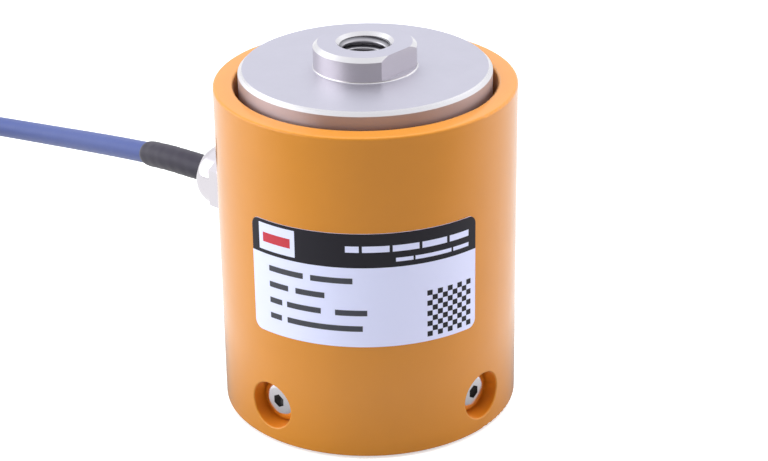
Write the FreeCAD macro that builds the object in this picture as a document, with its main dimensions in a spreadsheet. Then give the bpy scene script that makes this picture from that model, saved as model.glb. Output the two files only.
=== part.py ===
import FreeCAD, Part
import math
import os

import Sketcher

# Column load cell: a spring element inside a protective sleeve, with its gland and cable.
# Millimetres and degrees. +Z is up, and the origin is the centre of the base's underside.
# The screws, flats and gland are modelled on the X and Y axes, then turned by clocking_angle.

SIZES = {
    # outer sleeve
    "sleeve_diameter": 60.0,
    "sleeve_wall": 4.0,
    "foot_wall": 6.5,
    "foot_land": 0.55,
    "sleeve_height": 68.0,
    "sleeve_edge_round": 0.5,
    "base_proud": 0.5,
    "clocking_angle": 45.0,
    # screws that hold the sleeve on the base
    "screw_count": 4,
    "screw_height": 8.25,
    "screw_thread": 4.0,
    "screw_length": 8.0,
    "screw_head_diameter": 9.4,
    "screw_head_height": 2.2,
    "screw_head_rim": 0.2,
    "screw_hex": 2.5,
    "screw_hex_depth": 1.6,
    "screw_hole_clearance": 0.2,
    "screw_tapping_spare": 0.5,
    "counterbore_clearance": 0.2,
    "counterbore_depth": 4.6,
    "counterbore_edge_round": 0.3,
    "thread_play": 0.05,
    # spring element: base, load disc and boss
    "base_fit": 0.05,
    "base_height": 15.5,
    "base_chamfer": 0.5,
    "disc_gap": 1.0,
    "disc_rise": 3.0,
    "disc_thickness": 9.0,
    "disc_chamfer": 0.8,
    "boss_diameter": 20.4,
    "boss_height": 5.0,
    "boss_chamfer": 0.85,
    "boss_foot_round": 0.3,
    "boss_flats": 17.6,
    "boss_flat_ledge": 0.35,
    "stud_thread": 10.0,
    "stud_mouth": 11.4,
    "top_thread_depth": 14.0,
    "base_thread_depth": 12.0,
    # spring element: bending beam between two slots
    "flexure_width": 36.0,
    "flexure_depth": 20.0,
    "beam_height": 10.2,
    "beam_slot": 3.5,
    "beam_post": 5.0,
    "beam_hole": 7.0,
    "beam_slit": 2.0,
    # strain gauges, their wires and the terminal board
    "gauge_length": 5.0,
    "gauge_width": 4.0,
    "gauge_thickness": 0.15,
    "gauge_margin": 1.5,
    "ribbon_width": 1.2,
    "ribbon_thickness": 0.3,
    "ribbon_offset": 1.0,
    "board_width": 24.0,
    "board_height": 9.0,
    "board_thickness": 1.0,
    "board_bottom": 18.0,
    "core_wire_diameter": 1.0,
    "core_wire_spacing": 1.5,
    "core_wire_landing": 3.5,
    # printed label
    "label_width": 47.4,
    "label_height": 24.0,
    "label_bottom": 25.1,
    "label_thickness": 0.12,
    "label_corner": 1.8,
    "label_angle": -95.5,
    # cable gland, with lengths along its axis measured from the cell's own axis
    "gland_height": 36.7,
    "gland_thread": 10.0,
    "gland_hex": 14.0,
    "gland_flange": 3.5,
    "gland_shank": 4.4,
    "gland_stem": 6.5,
    "gland_clearance": 0.15,
    "port_depth": 1.0,
    "port_diameter": 16.8,
    "washer_diameter": 14.0,
    "washer_thickness": 1.0,
    "seal_diameter": 8.0,
    "seal_length": 4.5,
    "seal_stand_out": 1.0,
    "nut_diameter": 13.2,
    "nut_length": 10.6,
    "nut_hex_length": 4.5,
    "nut_gap": 0.5,
    "nut_mouth_land": 0.25,
    # cable, heat-shrink sleeve, coil and free end
    "cable_diameter": 4.8,
    "cable_inside_port": 1.0,
    "cable_past_nut": 7.4,
    "shrink_diameter": 5.7,
    "shrink_start": 6.0,
    "shrink_end": 40.6,
    "coil_diameter": 54.0,
    "coil_round": 2.0,
    "tail_start": 210.0,
    "tail_angle": 50.0,
    "tail_sink": 0.2,
    "strap_thickness": 0.8,
    "strap_start": 60.0,
    "strap_angle": 16.0,
    "lead_diameter": 1.1,
    "drain_diameter": 0.6,
}

# Route of the cable after its first two points, which lie on the gland's axis.
# The last point meets the coil, on the third layer of its outer turns.
CABLE_ROUTE = [
    (-50.4, 58.1, 31.3),
    (-73.0, 96.4, 19.9),
    (-94.5, 124.1, 12.8),
    (-113.4, 130.6, 12.8),
    (-132.2, 123.8, 12.8),
]
COIL_COLUMNS = 4
COIL_LAYERS = 3
CORE_COLOURS = ["red", "black", "green", "white"]
PAST_THE_WALL = 1.0  # how far a cutting tool runs past the surface it breaks through

V = FreeCAD.Vector
UP = V(0, 0, 1)

doc = FreeCAD.newDocument("column_load_cell")
sheet = doc.addObject("Spreadsheet::Sheet", "sizes")
for row, (alias, number) in enumerate(SIZES.items(), start=1):
    sheet.set(f"A{row}", alias)
    sheet.set(f"B{row}", str(number))
    sheet.setAlias(f"B{row}", alias)
doc.recompute()

parts = []


def value(expression):
    """The number that an expression on the sheet's sizes gives."""
    return float(sheet.evalExpression(expression))


# Places that several pieces share, as expressions on the sizes
SLEEVE_RADIUS = "sizes.sleeve_diameter / 2"
BORE_RADIUS = "(sizes.sleeve_diameter / 2 - sizes.sleeve_wall)"
SLEEVE_TOP = "(sizes.base_proud + sizes.sleeve_height)"
FOOT_RADIUS = "(sizes.sleeve_diameter / 2 - sizes.foot_wall)"
COUNTERBORE_RADIUS = "(sizes.screw_head_diameter / 2 + sizes.counterbore_clearance)"
FOOT_TOP = f"(sizes.screw_height + {COUNTERBORE_RADIUS} + sizes.foot_land)"
BASE_RADIUS = f"({FOOT_RADIUS} - sizes.base_fit)"
FLANGE_RADIUS = f"({BORE_RADIUS} - sizes.base_fit)"
DISC_RADIUS = f"({BORE_RADIUS} - sizes.disc_gap)"
DISC_TOP = f"({SLEEVE_TOP} + sizes.disc_rise)"
DISC_BOTTOM = f"({DISC_TOP} - sizes.disc_thickness)"
BOSS_TOP = f"({DISC_TOP} + sizes.boss_height)"
BEAM_MIDDLE = f"((sizes.base_height + {DISC_BOTTOM}) / 2)"
BEAM_TOP = f"({BEAM_MIDDLE} + sizes.beam_height / 2)"
BEAM_BOTTOM = f"({BEAM_MIDDLE} - sizes.beam_height / 2)"
BEAM_POST_FACE = "(sizes.flexure_width / 2 - sizes.beam_post)"
HOLE_OFFSET = f"({BEAM_POST_FACE} - sizes.gauge_margin - sizes.gauge_length / 2)"
FLEXURE_FACE = "sizes.flexure_depth / 2"
CORE_RADIUS = "(sqrt(sizes.flexure_width^2 + sizes.flexure_depth^2) / 2)"
COUNTERBORE_FLOOR = "(sizes.sleeve_diameter / 2 - sizes.counterbore_depth)"
BOARD_TOP = "(sizes.board_bottom + sizes.board_height)"
PORT_FACE = "(sizes.sleeve_diameter / 2 - sizes.port_depth)"
FLANGE_START = f"({PORT_FACE} + sizes.washer_thickness)"
FLANGE_END = f"({FLANGE_START} + sizes.gland_flange)"
STEM_END = f"({FLANGE_END} + sizes.gland_stem)"
SEAL_START = f"({STEM_END} + sizes.seal_stand_out - sizes.seal_length)"
SEAL_END = f"({STEM_END} + sizes.seal_stand_out)"
NUT_START = f"({FLANGE_END} + sizes.nut_gap)"
NUT_END = f"({NUT_START} + sizes.nut_length)"
GLAND_BORE = "(sizes.shrink_diameter / 2 + sizes.gland_clearance)"
CABLE_START = f"({PORT_FACE} - sizes.cable_inside_port)"
CABLE_FIRST_BEND = f"({NUT_END} + sizes.cable_past_nut)"


# Helpers for bodies, sketches and features


def new_body(label, angle="sizes.clocking_angle"):
    """A body that is turned about the cell's axis by an angle on the sheet."""
    body = doc.addObject("PartDesign::Body", label)
    body.Label = label
    body.Placement = FreeCAD.Placement(V(), FreeCAD.Rotation(UP, value(angle)))
    body.setExpression("Placement.Rotation.Angle", angle)
    parts.append(body)
    return body


def gland_turn():
    """The turn that lays a piece modelled along +Z on the gland's axis."""
    return FreeCAD.Rotation(UP, value("sizes.clocking_angle")) * FreeCAD.Rotation(V(1, 0, 0), -90)


def new_gland_body(label):
    """A body modelled along +Z, with Z measured from the cell's axis, then laid on the gland's axis."""
    body = doc.addObject("PartDesign::Body", label)
    body.Label = label
    body.Placement = FreeCAD.Placement(V(0, 0, value("sizes.gland_height")), gland_turn())
    body.setExpression("Placement.Base.z", "sizes.gland_height")
    parts.append(body)
    return body


def origin_feature(body, role):
    return next(feature for feature in body.Origin.OriginFeatures if feature.Role == role)


def new_sketch(body, role, offset="0"):
    """A sketch on one of the body's origin planes, moved along the plane's normal by offset."""
    sketch = body.newObject("Sketcher::SketchObject", "Sketch")
    sketch.AttachmentSupport = [(origin_feature(body, role), "")]
    sketch.MapMode = "FlatFace"
    sketch.setExpression("AttachmentOffset.Base.z", offset)
    return sketch


def place_point(sketch, geometry, point, x, y):
    """Ties a point of the sketch to two expressions, measured from the sketch's origin."""
    for kind, axis, expression in (("DistanceX", -2, x), ("DistanceY", -1, y)):
        if expression == "0":
            sketch.addConstraint(Sketcher.Constraint("PointOnObject", geometry, point, axis))
            continue
        rule = Sketcher.Constraint(kind, -1, 1, geometry, point, value(expression))
        sketch.setExpression(f"Constraints[{sketch.addConstraint(rule)}]", expression)


def draw_outline(sketch, corners):
    """A closed outline of straight sides, each corner an (x, y) pair of expressions."""
    places = [V(value(x), value(y), 0) for x, y in corners]
    first = sketch.GeometryCount
    count = len(corners)
    for i, start in enumerate(places):
        sketch.addGeometry(Part.LineSegment(start, places[(i + 1) % count]))
    for i in range(count):
        joined = Sketcher.Constraint("Coincident", first + i, 2, first + (i + 1) % count, 1)
        sketch.addConstraint(joined)
    for i, (x, y) in enumerate(corners):
        place_point(sketch, first + i, 1, x, y)


def draw_rectangle(sketch, left, right, bottom, top):
    draw_outline(sketch, [(left, bottom), (right, bottom), (right, top), (left, top)])


def draw_circle(sketch, x, y, radius):
    circle = sketch.addGeometry(Part.Circle(V(value(x), value(y), 0), V(0, 0, 1), value(radius)))
    place_point(sketch, circle, 3, x, y)
    rule = sketch.addConstraint(Sketcher.Constraint("Radius", circle, value(radius)))
    sketch.setExpression(f"Constraints[{rule}]", radius)


def draw_hexagon(sketch, y, across_flats):
    """A hexagon centred on the sketch's vertical axis at height y."""
    half_flat = f"{across_flats} / 2"
    half_side = f"{across_flats} / (2 * sqrt(3))"
    point = f"{across_flats} / sqrt(3)"
    draw_outline(
        sketch,
        [
            (half_flat, f"{y} + {half_side}"),
            ("0", f"{y} + {point}"),
            (f"-{half_flat}", f"{y} + {half_side}"),
            (f"-{half_flat}", f"{y} - {half_side}"),
            ("0", f"{y} - {point}"),
            (half_flat, f"{y} - {half_side}"),
        ],
    )


def add_feature(body, kind, sketch):
    feature = body.newObject(f"PartDesign::{kind}", kind)
    feature.Profile = sketch
    sketch.Visibility = False
    return feature


def turn(body, kind, sketch, axis="V_Axis", angle="360"):
    """A Revolution or a Groove about one of the sketch's axes."""
    feature = add_feature(body, kind, sketch)
    feature.ReferenceAxis = (sketch, [axis])
    feature.setExpression("Angle", angle)
    doc.recompute()
    return feature


def extrude(body, kind, sketch, length, reverse=False, both_sides=False):
    """A Pad or a Pocket of the given length."""
    feature = add_feature(body, kind, sketch)
    feature.setExpression("Length", length)
    feature.Reversed = reverse
    feature.SideType = "Symmetric" if both_sides else "One side"
    doc.recompute()
    return feature


def repeat_round_axis(body, feature):
    """Copies a cut at each of the screws' places round the cell's axis."""
    pattern = body.newObject("PartDesign::PolarPattern", "PolarPattern")
    pattern.Originals = [feature]
    pattern.Axis = (origin_feature(body, "Z_Axis"), [""])
    pattern.Angle = 360
    pattern.setExpression("Occurrences", "sizes.screw_count")
    body.Tip = pattern
    doc.recompute()
    return pattern


def ring_edges(feature, radius, centre):
    """Names of the feature's circular edges of that radius about that centre."""
    close = 1e-4
    return [
        f"Edge{number}"
        for number, edge in enumerate(feature.Shape.Edges, start=1)
        if isinstance(edge.Curve, Part.Circle)
        and abs(edge.Curve.Radius - radius) < close
        and edge.Curve.Center.distanceToPoint(centre) < close
    ]


def dress(body, kind, feature, edges, size):
    """A Fillet or a Chamfer on named edges, its size an expression."""
    dressed = body.newObject(f"PartDesign::{kind}", kind)
    dressed.Base = (feature, edges)
    dressed.setExpression("Radius" if kind == "Fillet" else "Size", size)
    doc.recompute()
    return dressed


# Outer sleeve


def make_outer_sleeve():
    body = new_body("outer_sleeve")
    section = new_sketch(body, "XZ_Plane")
    draw_outline(
        section,
        [
            (FOOT_RADIUS, "sizes.base_proud"),
            (SLEEVE_RADIUS, "sizes.base_proud"),
            (SLEEVE_RADIUS, SLEEVE_TOP),
            (BORE_RADIUS, SLEEVE_TOP),
            (BORE_RADIUS, FOOT_TOP),
            (FOOT_RADIUS, FOOT_TOP),
        ],
    )
    tube = turn(body, "Revolution", section)
    rims = [
        edge
        for radius, height in (
            (FOOT_RADIUS, "sizes.base_proud"),
            (SLEEVE_RADIUS, "sizes.base_proud"),
            (SLEEVE_RADIUS, SLEEVE_TOP),
            (BORE_RADIUS, SLEEVE_TOP),
        )
        for edge in ring_edges(tube, value(radius), V(0, 0, value(height)))
    ]
    dress(body, "Fillet", tube, rims, "sizes.sleeve_edge_round")

    port = new_sketch(body, "XY_Plane", "sizes.gland_height")
    draw_outline(
        port,
        [
            ("0", f"{BORE_RADIUS} - {PAST_THE_WALL}"),
            ("sizes.gland_thread / 2", f"{BORE_RADIUS} - {PAST_THE_WALL}"),
            ("sizes.gland_thread / 2", PORT_FACE),
            ("sizes.port_diameter / 2", PORT_FACE),
            ("sizes.port_diameter / 2", f"{SLEEVE_RADIUS} + {PAST_THE_WALL}"),
            ("0", f"{SLEEVE_RADIUS} + {PAST_THE_WALL}"),
        ],
    )
    turn(body, "Groove", port)

    hole = new_sketch(body, "XY_Plane", "sizes.screw_height")
    hole_radius = "(sizes.screw_thread / 2 + sizes.screw_hole_clearance)"
    draw_outline(
        hole,
        [
            (f"{FOOT_RADIUS} - {PAST_THE_WALL}", "0"),
            (f"{FOOT_RADIUS} - {PAST_THE_WALL}", hole_radius),
            (COUNTERBORE_FLOOR, hole_radius),
            (COUNTERBORE_FLOOR, COUNTERBORE_RADIUS),
            (f"{SLEEVE_RADIUS} + {PAST_THE_WALL}", COUNTERBORE_RADIUS),
            (f"{SLEEVE_RADIUS} + {PAST_THE_WALL}", "0"),
        ],
    )
    holes = repeat_round_axis(body, turn(body, "Groove", hole, "H_Axis"))
    dress(body, "Fillet", holes, counterbore_mouths(holes), "sizes.counterbore_edge_round")


def counterbore_mouths(sleeve):
    """Names of the edges where the screws' counterbores break the sleeve's outside."""
    close = 1e-3
    outside, middle = value(SLEEVE_RADIUS), value("sizes.screw_height")
    return [
        f"Edge{number}"
        for number, edge in enumerate(sleeve.Shape.Edges, start=1)
        if not isinstance(edge.Curve, (Part.Circle, Part.Line))
        and abs(edge.CenterOfMass.z - middle) < value(COUNTERBORE_RADIUS)
        and all(abs(math.hypot(point.x, point.y) - outside) < close for point in edge.discretize(5))
    ]


# Spring element: turned as a spool from one bar, then milled


def turn_spool(body):
    """The turned blank, with its chamfers and the round at the boss's foot."""
    spool = new_sketch(body, "XZ_Plane")
    draw_outline(
        spool,
        [
            ("0", "0"),
            (BASE_RADIUS, "0"),
            (BASE_RADIUS, FOOT_TOP),
            (FLANGE_RADIUS, FOOT_TOP),
            (FLANGE_RADIUS, "sizes.base_height"),
            (CORE_RADIUS, "sizes.base_height"),
            (CORE_RADIUS, DISC_BOTTOM),
            (DISC_RADIUS, DISC_BOTTOM),
            (DISC_RADIUS, DISC_TOP),
            ("sizes.boss_diameter / 2", DISC_TOP),
            ("sizes.boss_diameter / 2", BOSS_TOP),
            ("0", BOSS_TOP),
        ],
    )
    blank = turn(body, "Revolution", spool)
    for kind, radius, height, size in (
        ("Chamfer", BASE_RADIUS, "0", "sizes.base_chamfer"),
        ("Chamfer", DISC_RADIUS, DISC_TOP, "sizes.disc_chamfer"),
        ("Chamfer", "sizes.boss_diameter / 2", BOSS_TOP, "sizes.boss_chamfer"),
        ("Fillet", "sizes.boss_diameter / 2", DISC_TOP, "sizes.boss_foot_round"),
    ):
        edges = ring_edges(blank, value(radius), V(0, 0, value(height)))
        blank = dress(body, kind, blank, edges, size)


def mill_flexure(body):
    """The flat sides of the core, then the slots and holes that leave the bending beam."""
    sides = new_sketch(body, "XY_Plane", "sizes.base_height")
    draw_circle(sides, "0", "0", f"{CORE_RADIUS} + {PAST_THE_WALL}")
    draw_rectangle(
        sides,
        "-sizes.flexure_width / 2",
        "sizes.flexure_width / 2",
        f"-{FLEXURE_FACE}",
        FLEXURE_FACE,
    )
    extrude(body, "Pocket", sides, f"{DISC_BOTTOM} - sizes.base_height", reverse=True)

    past_side = f"({CORE_RADIUS} + {PAST_THE_WALL})"
    through = f"2 * {past_side}"
    slots = new_sketch(body, "XZ_Plane")
    draw_rectangle(slots, f"-{past_side}", BEAM_POST_FACE, BEAM_TOP, f"{BEAM_TOP} + sizes.beam_slot")
    lower_slot = f"{BEAM_BOTTOM} - sizes.beam_slot"
    draw_rectangle(slots, f"-{BEAM_POST_FACE}", past_side, lower_slot, BEAM_BOTTOM)
    extrude(body, "Pocket", slots, through, both_sides=True)

    holes = new_sketch(body, "XZ_Plane")
    for side in ("-", ""):
        draw_circle(holes, f"{side}{HOLE_OFFSET}", BEAM_MIDDLE, "sizes.beam_hole / 2")
    extrude(body, "Pocket", holes, through, both_sides=True)

    slit = new_sketch(body, "XZ_Plane")
    draw_rectangle(
        slit,
        f"-{HOLE_OFFSET}",
        HOLE_OFFSET,
        f"{BEAM_MIDDLE} - sizes.beam_slit / 2",
        f"{BEAM_MIDDLE} + sizes.beam_slit / 2",
    )
    extrude(body, "Pocket", slit, through, both_sides=True)


def mill_spanner_flats(body):
    flats = new_sketch(body, "XY_Plane", f"{DISC_TOP} + sizes.boss_flat_ledge")
    half_length = f"(sizes.boss_diameter / 2 + {PAST_THE_WALL})"
    near, far = "sizes.boss_flats / 2", half_length
    draw_rectangle(flats, f"-{half_length}", half_length, near, far)
    draw_rectangle(flats, f"-{half_length}", half_length, f"-{far}", f"-{near}")
    extrude(body, "Pocket", flats, f"sizes.boss_height + {PAST_THE_WALL}", reverse=True)


def drill_stud_hole(body, mouth, depth, inward):
    """A threaded hole on the axis, with a countersunk mouth; inward is "+" or "-" along Z."""
    outward = "-" if inward == "+" else "+"
    radius = "sizes.stud_thread / 2"
    countersink = "(sizes.stud_mouth - sizes.stud_thread) / 2"
    hole = new_sketch(body, "XZ_Plane")
    draw_outline(
        hole,
        [
            ("0", f"{mouth} {outward} {PAST_THE_WALL}"),
            (f"sizes.stud_mouth / 2 + {PAST_THE_WALL}", f"{mouth} {outward} {PAST_THE_WALL}"),
            (radius, f"{mouth} {inward} {countersink}"),
            (radius, f"{mouth} {inward} {depth}"),
            ("0", f"{mouth} {inward} ({depth} + {radius} / sqrt(3))"),
        ],
    )
    turn(body, "Groove", hole)


def make_spring_element():
    body = new_body("spring_element")
    turn_spool(body)
    mill_flexure(body)
    mill_spanner_flats(body)
    drill_stud_hole(body, BOSS_TOP, "sizes.top_thread_depth", "-")
    drill_stud_hole(body, "0", "sizes.base_thread_depth", "+")

    tapped = new_sketch(body, "XY_Plane", "sizes.screw_height")
    draw_rectangle(
        tapped,
        f"{COUNTERBORE_FLOOR} - sizes.screw_length - sizes.screw_tapping_spare",
        f"{BASE_RADIUS} + {PAST_THE_WALL}",
        "0",
        "sizes.screw_thread / 2 + sizes.thread_play",
    )
    repeat_round_axis(body, turn(body, "Groove", tapped, "H_Axis"))


# Screws that hold the sleeve on the base


def make_sleeve_screws():
    body = new_body("sleeve_screws")
    profile = new_sketch(body, "XY_Plane", "sizes.screw_height")
    head_top = f"({COUNTERBORE_FLOOR} + sizes.screw_head_height)"
    tip = f"({COUNTERBORE_FLOOR} - sizes.screw_length)"
    draw_outline(
        profile,
        [
            (tip, "0"),
            (tip, "sizes.screw_thread / 2"),
            (COUNTERBORE_FLOOR, "sizes.screw_thread / 2"),
            (COUNTERBORE_FLOOR, "sizes.screw_head_diameter / 2"),
            (head_top, "sizes.screw_head_diameter / 2"),
            (head_top, "0"),
        ],
    )
    screw = turn(body, "Revolution", profile, "H_Axis")
    crown = V(value(head_top), 0, value("sizes.screw_height"))
    edges = ring_edges(screw, value("sizes.screw_head_diameter / 2"), crown)
    dress(body, "Fillet", screw, edges, "sizes.screw_head_height - sizes.screw_head_rim")
    socket = new_sketch(body, "YZ_Plane", head_top)
    draw_hexagon(socket, "sizes.screw_height", "sizes.screw_hex")
    recess = extrude(body, "Pocket", socket, "sizes.screw_hex_depth")
    pattern = repeat_round_axis(body, recess)
    pattern.TransformMode = "Whole shape"
    doc.recompute()


# Strain gauges on the beam, their wires and the terminal board


def make_gauge_and_ribbon(level, side):
    """A gauge over one of the beam's holes and the ribbon from it to the board."""
    upper = level == "upper"
    sign = "-" if side == "left" else ""
    centre = f"{sign}{HOLE_OFFSET}"
    surface = BEAM_TOP if upper else f"({BEAM_BOTTOM} - sizes.gauge_thickness)"
    gauge = new_body(f"strain_gauge_{level}_{side}")
    foil = new_sketch(gauge, "XY_Plane", surface)
    draw_rectangle(
        foil,
        f"{centre} - sizes.gauge_length / 2",
        f"{centre} + sizes.gauge_length / 2",
        "-sizes.gauge_width / 2",
        "sizes.gauge_width / 2",
    )
    extrude(gauge, "Pad", foil, "sizes.gauge_thickness")

    ribbon = new_body(f"gauge_ribbon_{level}_{side}")
    shift = "+" if (side == "right") == upper else "-"
    run = new_sketch(ribbon, "YZ_Plane", f"{centre} {shift} sizes.ribbon_offset")
    outer_face = f"({FLEXURE_FACE} + sizes.ribbon_thickness)"
    start = "sizes.gauge_width / 2"
    if upper:
        top = f"({BEAM_TOP} + sizes.ribbon_thickness)"
        corners = [
            (start, BEAM_TOP),
            (FLEXURE_FACE, BEAM_TOP),
            (FLEXURE_FACE, BOARD_TOP),
            (outer_face, BOARD_TOP),
            (outer_face, top),
            (start, top),
        ]
    else:
        underside = f"({BEAM_BOTTOM} - sizes.ribbon_thickness)"
        corners = [
            (start, underside),
            (FLEXURE_FACE, underside),
            (FLEXURE_FACE, BOARD_TOP),
            (outer_face, BOARD_TOP),
            (outer_face, BEAM_BOTTOM),
            (start, BEAM_BOTTOM),
        ]
    draw_outline(run, corners)
    extrude(ribbon, "Pad", run, "sizes.ribbon_width", both_sides=True)


def make_terminal_board():
    body = new_body("terminal_board")
    outline = new_sketch(body, "XZ_Plane", f"-{FLEXURE_FACE}")
    half_width = "sizes.board_width / 2"
    draw_rectangle(outline, f"-{half_width}", half_width, "sizes.board_bottom", BOARD_TOP)
    extrude(body, "Pad", outline, "sizes.board_thickness", reverse=True)


# Printed label


def make_rating_label():
    body = new_body("rating_label", "sizes.label_angle")
    section = new_sketch(body, "XZ_Plane")
    draw_rectangle(
        section,
        SLEEVE_RADIUS,
        f"{SLEEVE_RADIUS} + sizes.label_thickness",
        "sizes.label_bottom",
        "sizes.label_bottom + sizes.label_height",
    )
    span = f"sizes.label_width / ({SLEEVE_RADIUS}) * 180 / pi"
    band = turn(body, "Revolution", section, angle=span)
    band.Midplane = True
    doc.recompute()
    corners = [
        f"Edge{number}"
        for number, edge in enumerate(band.Shape.Edges, start=1)
        if abs(edge.Length - value("sizes.label_thickness")) < 1e-4
    ]
    dress(body, "Fillet", band, corners, "sizes.label_corner")


# Cable gland


def make_gland_body():
    body = new_gland_body("gland_body")
    section = new_sketch(body, "XZ_Plane")
    thread = "(sizes.gland_thread / 2 - sizes.thread_play)"
    inner_end = f"({FLANGE_START} - sizes.gland_shank)"
    seat = "(sizes.seal_diameter / 2 + sizes.thread_play)"
    draw_outline(
        section,
        [
            (GLAND_BORE, inner_end),
            (thread, inner_end),
            (thread, STEM_END),
            (seat, STEM_END),
            (seat, SEAL_START),
            (GLAND_BORE, SEAL_START),
        ],
    )
    turn(body, "Revolution", section)
    flange = new_sketch(body, "XY_Plane", FLANGE_START)
    draw_hexagon(flange, "0", "sizes.gland_hex")
    draw_circle(flange, "0", "0", thread)
    extrude(body, "Pad", flange, "sizes.gland_flange")


def make_gland_washer():
    body = new_gland_body("gland_washer")
    section = new_sketch(body, "XZ_Plane")
    draw_rectangle(
        section, "sizes.gland_thread / 2", "sizes.washer_diameter / 2", PORT_FACE, FLANGE_START
    )
    turn(body, "Revolution", section)


def make_gland_seal():
    body = new_gland_body("gland_seal")
    section = new_sketch(body, "XZ_Plane")
    draw_rectangle(
        section, "sizes.shrink_diameter / 2", "sizes.seal_diameter / 2", SEAL_START, SEAL_END
    )
    turn(body, "Revolution", section)


def make_gland_nut():
    body = new_gland_body("gland_nut")
    section = new_sketch(body, "XZ_Plane")
    radius = "sizes.nut_diameter / 2"
    draw_outline(
        section,
        [
            ("sizes.gland_thread / 2", NUT_START),
            (radius, NUT_START),
            (radius, NUT_END),
            (GLAND_BORE, NUT_END),
            (GLAND_BORE, SEAL_END),
            ("sizes.gland_thread / 2", SEAL_END),
        ],
    )
    cap = turn(body, "Revolution", section)
    nose = ring_edges(cap, value(radius), V(0, 0, value(NUT_END)))
    dress(body, "Fillet", cap, nose, f"{radius} - {GLAND_BORE} - sizes.nut_mouth_land")
    grip = new_sketch(body, "XY_Plane", NUT_START)
    draw_hexagon(grip, "0", "sizes.gland_hex")
    draw_circle(grip, "0", "0", "sizes.gland_thread / 2")
    extrude(body, "Pad", grip, "sizes.nut_hex_length")


# Tubes along routes of straight runs joined by tangent arcs

ARC_SHARE = 0.45  # share of the shorter run that an arc takes up


def route_edges(points, name=None):
    """Lines and tangent arcs along the points, each arc as large as its two runs allow."""
    edges = []
    radii = []
    start = points[0]
    for before, corner, after in zip(points, points[1:], points[2:]):
        into, out = corner - before, after - corner
        half_turn = into.getAngle(out) / 2
        reach = ARC_SHARE * min(into.Length, out.Length)
        radii.append(reach / math.tan(half_turn))
        into.normalize()
        out.normalize()
        first, last = corner - into * reach, corner + out * reach
        inward = (out - into).normalize()
        sagitta = radii[-1] * (1 / math.cos(half_turn) - 1)
        edges.append(Part.LineSegment(start, first).toShape())
        edges.append(Part.Arc(first, corner + inward * sagitta, last).toShape())
        start = last
    edges.append(Part.LineSegment(start, points[-1]).toShape())
    if name:
        print(name, "bend radii", [round(radius, 1) for radius in radii])
    return edges


def trim_route(edges, start, end):
    """The stretch of a route between two lengths along it."""
    kept = []
    passed = 0.0
    for edge in edges:
        low, high = max(start - passed, 0.0), min(end - passed, edge.Length)
        if high > low:
            first, last = (edge.getParameterByLength(length) for length in (low, high))
            kept.append(edge.Curve.toShape(first, last))
        passed += edge.Length
    return kept


def sweep_tube(edges, diameter):
    """A round solid along the edges."""
    spine = Part.Wire(edges)
    first = edges[0]
    at, along = first.valueAt(first.FirstParameter), first.tangentAt(first.FirstParameter)
    ring = Part.Wire(Part.makeCircle(diameter / 2, at, along))
    tube = spine.makePipeShell([ring], True, False)
    expected = math.pi / 4 * diameter**2 * spine.Length
    if abs(tube.Volume / expected - 1) > 0.01:
        raise ValueError(f"tube volume {tube.Volume:.1f} differs from {expected:.1f}")
    return tube


def add_shape(label, shape, placement=None):
    feature = doc.addObject("Part::Feature", label)
    feature.Label = label
    feature.Shape = shape
    feature.Placement = placement or FreeCAD.Placement()
    parts.append(feature)
    return feature


# Cable and heat-shrink sleeve


def cable_points():
    """The route from inside the gland to the coil."""
    outward = gland_turn().multVec(UP)
    height = V(0, 0, value("sizes.gland_height"))
    on_axis = [height + outward * value(place) for place in (CABLE_START, CABLE_FIRST_BEND)]
    return on_axis + [V(*point) for point in CABLE_ROUTE]


def make_cable():
    edges = route_edges(cable_points(), "cable_lead")
    cable = value("sizes.cable_diameter")
    add_shape("cable_lead", sweep_tube(edges, cable))
    covered = trim_route(edges, value("sizes.shrink_start"), value("sizes.shrink_end"))
    sleeve = sweep_tube(covered, value("sizes.shrink_diameter")).cut(sweep_tube(covered, cable))
    add_shape("heat_shrink_sleeve", sleeve)


# Coil of the cable's put-away length, modelled about its own axis.
# The cable comes in along +Y at (outer turn, 0); the innermost column is one turn and the tail.


def coil_placement(stub):
    """Where the coil lies, so that the end of the cable's route runs into its outer turn."""
    before, end = cable_points()[-2:]
    heading = math.atan2(end.y - before.y, end.x - before.x)
    along = V(math.cos(heading), math.sin(heading), 0)
    inward = V(-math.sin(heading), math.cos(heading), 0)
    centre = end + along * stub + inward * value(COIL_OUTER_TURN)
    turned = FreeCAD.Rotation(UP, math.degrees(heading) - 90)
    return FreeCAD.Placement(V(centre.x, centre.y, 0), turned)


COIL_OUTER_TURN = f"(sizes.coil_diameter / 2 + sizes.cable_diameter * {(COIL_COLUMNS - 1) / 2})"
COIL_INNER_TURN = f"(sizes.coil_diameter / 2 - sizes.cable_diameter * {(COIL_COLUMNS - 1) / 2})"
COIL_OUTSIDE = f"({COIL_OUTER_TURN} + sizes.cable_diameter / 2)"
COIL_INSIDE = f"({COIL_INNER_TURN} - sizes.cable_diameter / 2)"
COIL_STEP = f"({COIL_INNER_TURN} + sizes.cable_diameter / 2)"
COIL_BOTTOM = "sizes.strap_thickness"
COIL_TOP = f"({COIL_BOTTOM} + sizes.cable_diameter * {COIL_LAYERS})"
COIL_LEDGE = f"({COIL_BOTTOM} + sizes.cable_diameter)"
TAIL_TURN = f"({COIL_INNER_TURN} + sizes.tail_sink)"
TAIL_HEIGHT = f"({COIL_LEDGE} + sizes.cable_diameter / 2 - sizes.tail_sink)"
STUB_HEIGHT = f"({COIL_TOP} - sizes.cable_diameter / 2)"
STUB_LENGTH = f"(sqrt(({COIL_OUTSIDE} + sizes.cable_diameter / 2)^2 - {COIL_OUTER_TURN}^2) + 0.8)"


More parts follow.
